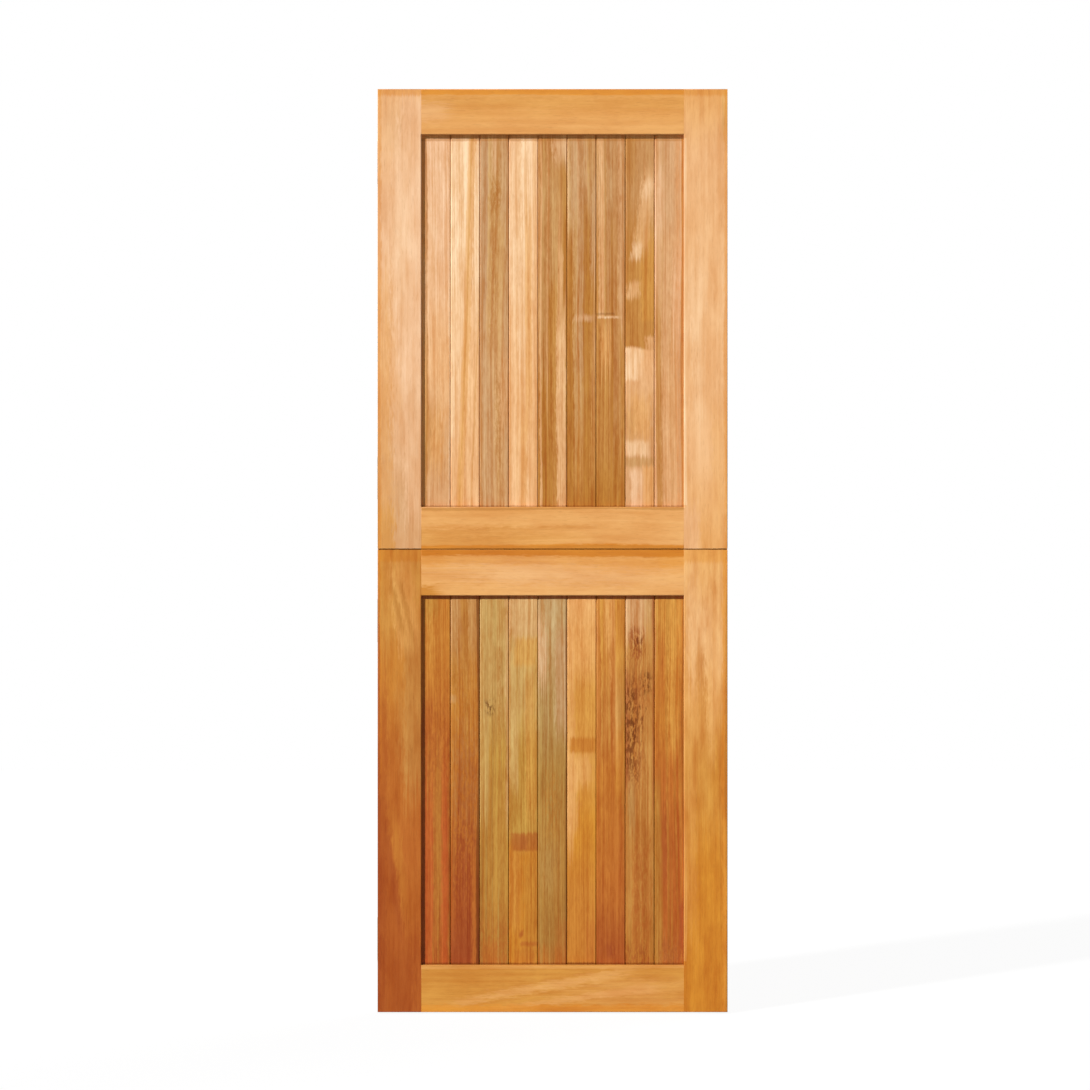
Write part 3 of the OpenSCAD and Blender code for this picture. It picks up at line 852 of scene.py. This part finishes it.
dress_board("top_leaf", 9, [(0, "biscuit"), (1, "biscuit")], [
    mark("fawn", (0.2, 0.7), (0.75, 2), 0.4),
    mark("toffee", (0.06, 0.24), (-1, 0.53), 0.8, soft=0.03, fade=0.06),
    mark("peach", (0.3, 0.8), (-1, 0.42), 0.4, soft=0.1, fade=0.1),
    mark("fawn", (0.84, 2), soft=0.04),
    mark("shell", (-1, 0.06), soft=0.02),
    mark("shell", (0.04, 0.34), (0.74, 0.9), 0.5, fade=0.04),
    mark("shell", (0.6, 0.92), (0.45, 0.68), 0.45, soft=0.1, fade=0.06),
    mark("toffee", share=0.3, striped=0.65),
    mark("caramel", (0.92, 2), ALL, 0.75, soft=0.008),
])

# %% [markdown]
# ## The frame of the bottom leaf
# The bottom leaf has seen more sun and rain. Its hinge stile goes from golden brown at the top to a deep
# red-brown at the foot, and the closing stile from peach to orange. The ground tones carry that change
# along the length, and leaning marks draw the figure that slants across it.

# %% Dress the bottom leaf's frame
dress_frame("bottom_leaf_hinge_stile", True, [
    (0, "russet"), (0.3, "russet"), (0.5, "rust"), (0.75, "ginger"), (0.9, "gold"), (1, "gold")], [
    mark("toffee", ALL, (0.8, 2), 0.35, fade=0.06),
    mark("honey", (0.35, 0.9), (0.78, 0.97), 0.5, lean=-1.6, soft=0.1, fade=0.03),
    mark("caramel", (0.40, 0.52), (0.82, 0.93), 0.7, lean=-2.4, soft=0.05, fade=0.02),
    mark("caramel", (0.62, 0.72), (0.80, 0.93), lean=-2.4, soft=0.04, fade=0.02),
    mark("russet", (-1, 0.22), (-1, 0.74), soft=0.08, fade=0.1),
    mark("chestnut", (-1, 0.2), (-1, 0.45), 0.4, soft=0.08, fade=0.1),
    mark("chestnut", (0.3, 0.9), (-1, 0.14), 0.3, soft=0.2, fade=0.1),
    mark("ginger", (0.42, 0.62), (0.2, 0.42), 0.5, lean=-1.4, soft=0.08),
    mark("chestnut", (0.3, 0.42), (0.18, 0.38), 0.4, lean=-1.4, soft=0.05),
    mark("toffee", (0.45, 0.8), (0.5, 0.72), 0.4, lean=-0.6, soft=0.1, fade=0.06),
    mark("toffee", (0.62, 2), (0.48, 0.82), 0.75, soft=0.1, fade=0.06),
    mark("rust", (0.64, 2), (0.16, 0.34), 0.65, soft=0.1, fade=0.06),
    mark("ginger", (-1, 0.34), (0.89, 2), 0.55, soft=0.1, fade=0.04),
    mark("rind", (-1, 0.07), (0.5, 2), 0.5, soft=0.03, fade=0.1),
    # Dark strip down the outer edge: partly the wood's own tone, partly painted shade of the shadow round
    # the door.
    mark("chestnut", (-1, 0.05), (-1, 0.9), 0.65, soft=0.02, fade=0.1),
    mark("rind", ALL, (0.974, 2), 0.5, fade=0.004),
], seed=37, streaks=1.15, figure=0.16)
dress_frame("bottom_leaf_closing_stile", True, [
    (0, "amber"), (0.3, "amber"), (0.5, "gold"), (0.72, "honey"), (0.85, "apricot"), (1, "apricot")], [
    mark("peach", (0.05, 0.9), (0.72, 0.95), 0.5, soft=0.1, fade=0.06),
    mark("ginger", (0.30, 0.50), (0.62, 0.79), lean=-0.6, soft=0.08, fade=0.03),
    mark("apricot", (0.55, 0.8), (0.55, 0.8), 0.4, lean=-0.3, soft=0.08),
    mark("honey", (-1, 0.28), (0.2, 0.55), 0.35, soft=0.08, fade=0.1),
    mark("honey", (0.3, 2), (0.88, 2), 0.55, soft=0.1, fade=0.04),
    mark("honey", (0.64, 2), (0.78, 0.9), 0.45, soft=0.08, fade=0.04),
    mark("amber", (0.66, 2), (0.46, 0.62), 0.5, soft=0.08, fade=0.04),
    mark("rind", ALL, (-1, 0.42), 0.4, fade=0.15),
    mark("orange", (0.88, 2), ALL, 0.7, soft=0.04),
    # Dark strip down the outer edge: partly the wood's own tone, partly painted shade of the shadow round
    # the door.
    mark("caramel", (0.95, 2), (-1, 0.9), 0.65, soft=0.02),
    # Painted highlight along the inner edge by the opening, where the chamfer would catch the light.
    mark("honey", (-1, 0.05), (0.11, 0.89), 0.5, soft=0.008, fade=0.001),
    mark("orange", ALL, (0.972, 2), 0.5, fade=0.006),
], seed=41, streaks=1.3, figure=0.14)
dress_frame("lower_meeting_rail", False, [(0, "apricot"), (1, "apricot")], [
    mark("honey", ALL, (-1, 0.25), 0.5, fade=0.12),
    mark("peach", (0.28, 0.66), (0.15, 0.9), 0.5, soft=0.15, fade=0.2),
    mark("amber", (-1, 0.2), (-1, 0.06), 0.8, soft=0.08, fade=0.03),
    mark("orange", (0.5, 0.82), (0.6, 2), 0.35, soft=0.1, fade=0.2),
    mark("orange", (0.68, 2), ALL, 0.28),
    mark("orange", (0.64, 2), (-1, 0.1), 0.35, fade=0.04),
    mark("orange", (0.64, 2), (0.89, 2), 0.4, fade=0.04),
    mark("rind", (0.855, 2), ALL, 0.9, soft=0.03),
], seed=43, streaks=0.65, figure=0.10)
dress_frame("bottom_rail", False, [(0, "gold"), (1, "gold")], [
    mark("apricot", (0.46, 0.62), (0.14, 0.8), 0.55, lean=1.0, soft=0.07, fade=0.1),
    mark("apricot", (0.24, 0.36), (0.2, 1.0), 0.5, lean=0.8, fade=0.1),
    mark("apricot", (0.5, 0.6), (0.6, 2), 0.5, lean=0.3, soft=0.04, fade=0.12),
    mark("ginger", (0.40, 0.44), (0.15, 0.85), 0.45, lean=0.9, soft=0.03, fade=0.1),
    mark("ginger", (0.68, 0.72), (0.2, 0.8), 0.35, lean=1.0, soft=0.03, fade=0.1),
    mark("apricot", (-1, 0.7), (0.6, 2), 0.3, soft=0.1, fade=0.2),
    mark("gold", (0.3, 0.72), (0.9, 2), soft=0.1, fade=0.04),
    mark("orange", (-1, 0.16), ALL, 0.8, soft=0.05),
    # Painted highlight along the top edge, where the chamfer would catch the light, then a thin line of
    # painted shade at the very edge.
    mark("honey", (0.92, 2), soft=0.008),
    mark("caramel", (0.98, 2), soft=0.004),
], seed=47, streaks=0.8, figure=0.14)

# %% [markdown]
# ## The boards of the bottom leaf
# Red-brown boards on the left, grey-green ones in the middle, an orange one beside them, and brown
# boards with dark flecks on the right. Most of them redden towards the foot of the leaf, so the ground
# tones change along the length and only the rest is drawn as marks. The first three come first.

# %% Dress the bottom leaf's left boards
dress_board("bottom_leaf", 1, [
    (0, "russet"), (0.3, "russet"), (0.55, "rust"), (0.88, "ginger"), (1, "ginger")], [
    mark("gold", (0.25, 0.75), (0.84, 2), soft=0.1, fade=0.04),
    mark("mustard", (-1, 0.6), (0.94, 2), 0.5, soft=0.1, fade=0.03),
    mark("russet", (-1, 0.35), (0.60, 0.72), soft=0.1),
    mark("caramel", along=(-1, 0.6), share=0.5, fade=0.15, striped=0.55),
    mark("chestnut", along=(-1, 0.7), share=0.35, fade=0.15, broken=0.45),
    mark("caramel", (0.45, 0.7), (0.12, 0.5), 0.5, fade=0.1),
    mark("brick", (0.70, 0.88), (-1, 0.5), 0.4, soft=0.05, fade=0.1),
    mark("brick", (0.12, 0.38), (-1, 0.46), 0.42, soft=0.05, fade=0.1),
    mark("caramel", (0.94, 2), ALL, 0.5, soft=0.02),
], streaks=1.65)
dress_board("bottom_leaf", 2, [
    (0, "chestnut"), (0.2, "russet"), (0.5, "rust"), (0.72, "ginger"), (0.9, "toffee")], [
    mark("caramel", ALL, (0.3, 2), 0.35, fade=0.15),
    mark("tan", (-1, 0.35), (0.85, 2), 0.85),
    mark("caramel", (-1, 0.2), (0.72, 0.86)),
    mark("tan", (-1, 0.16), (0.71, 0.73), fade=0.006),
    mark("caramel", (0.45, 0.6), (0.5, 2), 0.5, soft=0.04, fade=0.1),
    mark("chestnut", (0.1, 0.9), (-1, 0.62), 0.75, soft=0.12, fade=0.1, broken=0.35),
    mark("toffee", along=(0.4, 0.95), share=0.45, fade=0.1, broken=0.45),
    mark("chestnut", (0.25, 0.75), (-1, 0.25), 0.5, soft=0.1, fade=0.08),
    mark("rust", (0.77, 0.92), (-1, 0.3)),
    mark("tan", (0.62, 0.92), (0.86, 2), 0.5),
    mark("umber", (0.90, 2), ALL, 0.65, soft=0.02),
], streaks=1.65)
dress_board("bottom_leaf", 3, [
    (0, "caramel"), (0.2, "mustard"), (0.55, "mustard"), (0.78, "khaki"), (1, "khaki")], [
    mark("caramel", ALL, (-1, 0.5), 0.45, fade=0.15),
    mark("caramel", ALL, (-1, 0.2), 0.5, fade=0.08),
    mark("olive", share=0.6, striped=0.5),
    mark("straw", (-1, 0.3), (0.4, 2), 0.5),
    mark("caramel", (0.6, 0.72), (0.5, 0.86), 0.5, soft=0.04, broken=0.2),
    mark("straw", (0.64, 2), (0.86, 2)),
    mark("biscuit", (0.88, 2), (0.4, 2), 0.4),
    mark("umber", (0.22, 0.48), (0.68, 0.717), 0.95, soft=0.08, fade=0.01, broken=0.35),
    mark("caramel", (0.2, 0.9), (0.157, 0.168), fade=0.004, broken=0.2),
    mark("rust", (0.1, 0.6), (-1, 0.06), fade=0.02),
    mark("russet", ALL, (-1, 0.12), 0.4, fade=0.04, broken=0.4),
], streaks=1.65)

# %% [markdown]
# ## The middle boards of the bottom leaf
# Glued finger joints cross the fourth and the sixth board as short darker bands. Their ends are hard, so
# these marks fade over a few millimetres only, while the tones around them run softly into each other.

# %% Dress the bottom leaf's middle boards
dress_board("bottom_leaf", 4, [
    (0, "amber"), (0.30, "amber"), (0.36, "mustard"), (0.55, "mustard"), (0.72, "khaki"), (1, "straw")], [
    mark("gold", (0.6, 0.95), (0.38, 0.8), 0.5),
    mark("mustard", along=(0.36, 2), share=0.5, striped=0.5),
    mark("straw", (-1, 0.34), (0.48, 0.70), 0.8, soft=0.05, fade=0.04),
    mark("biscuit", along=(0.885, 2), share=0.5, fade=0.02),
    mark("gold", (-1, 0.36), (0.1, 0.31), soft=0.08, fade=0.03),
    mark("gold", (0.2, 0.95), (0.81, 0.885), soft=0.1, fade=0.01),
    mark("russet", (0.1, 2), (0.308, 0.357), 0.7, fade=0.005),
    mark("chestnut", (0.35, 0.62), (0.31, 0.35), 0.4, soft=0.05, fade=0.006),
    mark("caramel", (0.5, 2), (-1, 0.3), 0.45, soft=0.15),
    mark("russet", (0.35, 0.5), (0.076, 0.093), 0.85, soft=0.05, fade=0.006),
    mark("russet", (0.42, 2), (0.05, 0.062), 0.65, fade=0.004),
    mark("rust", (0.2, 0.9), (-1, 0.045), 0.4, soft=0.1, fade=0.01),
], streaks=1.65)
dress_board("bottom_leaf", 5, [
    (0, "caramel"), (0.06, "olive"), (0.5, "olive"), (0.72, "moss"), (0.86, "sage")], [
    mark("caramel", ALL, (-1, 0.4), 0.55, fade=0.15),
    mark("umber", ALL, (-1, 0.2), 0.1, fade=0.06),
    mark("rust", ALL, (-1, 0.05), 0.5, fade=0.02),
    mark("olive", along=(-1, 0.8), share=0.45, fade=0.1, striped=0.5),
    mark("shell", (-1, 0.3), (0.77, 0.93), 0.45),
    mark("toffee", (0.1, 0.2), (0.93, 2)),
    mark("caramel", (0.2, 0.7), (0.35, 0.53), 0.5, soft=0.1, broken=0.2),
    mark("moss", (0.1, 0.7), (0.2, 0.33), 0.15, soft=0.2, fade=0.03),
    mark("fawn", (0.6, 2), (0.63, 0.9), soft=0.08, fade=0.04),
    mark("russet", (0.62, 2), (-1, 0.12), 0.35, soft=0.08, fade=0.03),
    mark("umber", (0.93, 2), ALL, 0.45, soft=0.02),
], streaks=1.65)
dress_board("bottom_leaf", 6, [
    (0, "ginger"), (0.15, "ginger"), (0.38, "amber"), (0.55, "gold"), (0.72, "gold"),
    (0.85, "honey"), (1, "apricot")], [
    mark("apricot", (-1, 0.22), (0.3, 2), 0.5),
    mark("apricot", (-1, 0.8), (0.49, 0.568), 0.5, soft=0.15, fade=0.02),
    mark("apricot", (-1, 0.36), (0.36, 0.52), 0.5, soft=0.1, fade=0.03),
    mark("ginger", (0.08, 2), (0.575, 0.615), 0.95, fade=0.006),
    mark("ginger", (0.1, 0.9), (-1, 0.07), 0.4, soft=0.1),
    mark("rust", (0.62, 2), (-1, 0.12), 0.65, fade=0.03),
    mark("umber", ALL, (-1, 0.006), 0.5, fade=0.003),
], streaks=1.4)

# %% [markdown]
# ## The right boards of the bottom leaf
# The dark flecks on the eighth board are a cluster of small knots. Each fleck could be a mark, but a broken
# band is simpler: the band says where they lie, and fine noise says which specks of it are dark.

# %% Dress the bottom leaf's right boards
dress_board("bottom_leaf", 7, [
    (0, "russet"), (0.18, "rust"), (0.5, "ginger"), (0.7, "toffee"), (0.85, "gold")], [
    mark("gold", (-1, 0.66), (0.6, 0.9), 0.5, soft=0.08, fade=0.06),
    mark("honey", (0.2, 0.42), (0.55, 2), 0.5, lean=-0.5),
    mark("rust", (0.45, 0.52), (0.45, 0.95), 0.5, lean=-0.5, soft=0.03),
    mark("rust", (-1, 0.15), (0.55, 0.95), 0.5),
    mark("rust", share=0.5, striped=0.5),
    mark("caramel", (0.85, 2), (0.4, 2)),
    mark("honey", (0.3, 0.64), (0.86, 2), soft=0.04, fade=0.04),
    mark("ginger", (0.66, 2), (0.87, 2), soft=0.04, fade=0.03),
    mark("ginger", (0.62, 2), (0.48, 0.64), 0.55, fade=0.04),
    mark("chestnut", (0.35, 0.6), (0.018, 0.055), 0.8, soft=0.1, fade=0.012),
    mark("russet", (0.6, 2), (0.2, 0.45), 0.4, soft=0.1),
    mark("chestnut", ALL, (-1, 0.16), 0.4, fade=0.08),
], streaks=1.65)
dress_board("bottom_leaf", 8, [
    (0, "caramel"), (0.25, "toffee"), (0.6, "toffee"), (0.85, "toffee"), (1, "tan")], [
    mark("biscuit", (-1, 0.68), (0.89, 2), 0.65, soft=0.1, fade=0.04),
    mark("rust", share=0.4, striped=0.5),
    mark("russet", (0.15, 0.85), (0.69, 0.79), 0.35, soft=0.1),
    mark("chestnut", (0.1, 0.6), (0.82, 0.91), 0.7, soft=0.12, fade=0.02, broken=0.35),
    mark("umber", (0.3, 0.6), (0.855, 0.89), 0.7, soft=0.1, fade=0.012, broken=0.6),
    mark("umber", (0.55, 0.85), (0.735, 0.79), 0.8, soft=0.1, fade=0.015, broken=0.35),
    mark("chestnut", (-1, 0.6), (0.48, 0.79), 0.42, soft=0.15, fade=0.04, broken=0.35),
    mark("chestnut", (-1, 0.14), (0.45, 0.8)),
    mark("umber", (-1, 0.4), (0.5, 0.77), 0.65, soft=0.12, broken=0.4),
    mark("umber", (0.1, 0.7), (0.6, 0.72), 0.7, soft=0.12, fade=0.03, broken=0.8),
    mark("caramel", ALL, (0.15, 0.42), 0.4, fade=0.08),
    mark("moss", (0.1, 0.35), (0.36, 0.47), 0.4),
    mark("russet", (0.2, 0.8), (0.05, 0.35), 0.45, soft=0.12, broken=0.35),
    mark("chestnut", (-1, 0.8), (-1, 0.05), 0.5, soft=0.1, fade=0.02, broken=0.35),
    mark("chestnut", (0.93, 2), (0.4, 2), 0.5, soft=0.02),
], streaks=1.65)
dress_board("bottom_leaf", 9, [
    (0, "russet"), (0.3, "russet"), (0.5, "rust"), (0.7, "ginger"), (1, "gold")], [
    mark("mustard", (-1, 0.2), (-1, 0.5), 0.65),
    mark("rust", (0.18, 0.36), (0.7, 0.9), 0.7, soft=0.04),
    mark("caramel", share=0.55, striped=0.5),
    mark("gold", (0.5, 0.88), (0.6, 0.95), 0.65, soft=0.08),
    mark("russet", (0.3, 0.45), (0.4, 0.55)),
    mark("chestnut", (0.25, 0.4), (0.2, 0.42), 0.5),
    mark("caramel", (0.86, 2), (0.4, 2), 0.55, soft=0.03),
    mark("chestnut", (0.82, 2), (0.04, 0.18), 0.85, soft=0.04, fade=0.02),
    mark("toffee", (0.1, 0.8), (-1, 0.05), 0.5, broken=0.2),
    mark("chestnut", (0.1, 2), (-1, 0.06), 0.5, soft=0.1, fade=0.02, broken=0.4),
    mark("umber", (0.955, 2), ALL, 0.45, soft=0.01),
], streaks=1.65)

# %% [markdown]
# ## The brass of the hinges
# The butt hinges are of drawn brass, dark with age: two flat plates whose knuckles interlock round a pin.
# Brass dulls unevenly where hands and rain reach it, so tone and gloss vary in soft clouds, and fine
# scratches run along the plate. An even brown paint would look like plastic here.

# %% Make the brass
BRASS_CLOUDS = grain_noise((60, 60, 45), 0.0, 3.0, 0.6)
BRASS_SCRATCHES = grain_noise((2400, 2400, 60), 0.4, 2.0, 0.6)
DULL_RANGE = (0.42, 0.66)
BRASS_WORN = (0.36, 0.23, 0.10, 1)
BRASS_DULL = (0.17, 0.10, 0.045, 1)
BRASS_GLOSS = (0.3, 0.7, 0.34, 0.58)
BRASS_BUMP = {"Strength": 0.12, "Distance": 0.0002}


def brass(name, seed):
    """Makes drawn brass with dull clouds and fine scratches along the knuckles."""
    material = bpy.data.materials.new(name)
    material.use_nodes = True
    tree = material.node_tree
    tree.nodes.clear()
    place = add(tree, "TexCoord").outputs["Object"]
    clouds = cloud(tree, place, seed, BRASS_CLOUDS)
    scratches = cloud(tree, place, seed, BRASS_SCRATCHES)
    dull = step(tree, clouds, *DULL_RANGE)
    colour = blend(tree, dull, BRASS_WORN, BRASS_DULL)
    gloss = add(tree, "MapRange", clouds, *BRASS_GLOSS).outputs[0]
    bump = add(tree, "Bump")
    fill(bump, BRASS_BUMP)
    join(tree, scratches, bump.inputs["Height"])
    metal = add(tree, "BsdfPrincipled", colour)
    fill(metal, {"Metallic": 1.0})
    join(tree, gloss, metal.inputs["Roughness"])
    join(tree, bump.outputs[0], metal.inputs["Normal"])
    add(tree, "OutputMaterial", metal.outputs[0])
    return material


hinge_brass = brass("hinge_brass", 5)
screw_brass = brass("screw_brass", 9)
print("brass ready:", hinge_brass.name, screw_brass.name)

# %% [markdown]
# ## Easing the hinges
# A sharp brass edge cuts fingers, so plates, pins and screws are eased as well, finer than the timber. One
# loop finds them by the word hinge in their names and leaves out the hinge stiles. Their faces are
# shaded smooth and then split by angle, so that knuckles look round and plates stay flat.

# %% Ease the hinges
HINGE_ARRIS = 0.0003
HINGE_CORNER = radians(40)
SHADING_SPLIT = radians(32)
eased_hinges = 0
for node_name in sorted(frame["nodes"]):
    if "hinge_stile" in node_name or "hinge" not in node_name:
        continue
    shape = welded_copy(node_name)
    corners = [edge for edge in sharp_edges(shape) if edge.calc_face_angle(0) > HINGE_CORNER]
    ease(shape, corners, HINGE_ARRIS, 2)
    for face in shape.faces:
        face.smooth = True
    metal = screw_brass if "screws" in node_name else hinge_brass
    piece = make_piece(node_name, shape, metal)
    piece.data.set_sharp_from_angle(angle=SHADING_SPLIT)
    eased_hinges += 1
print("hinge pieces eased:", eased_hinges)
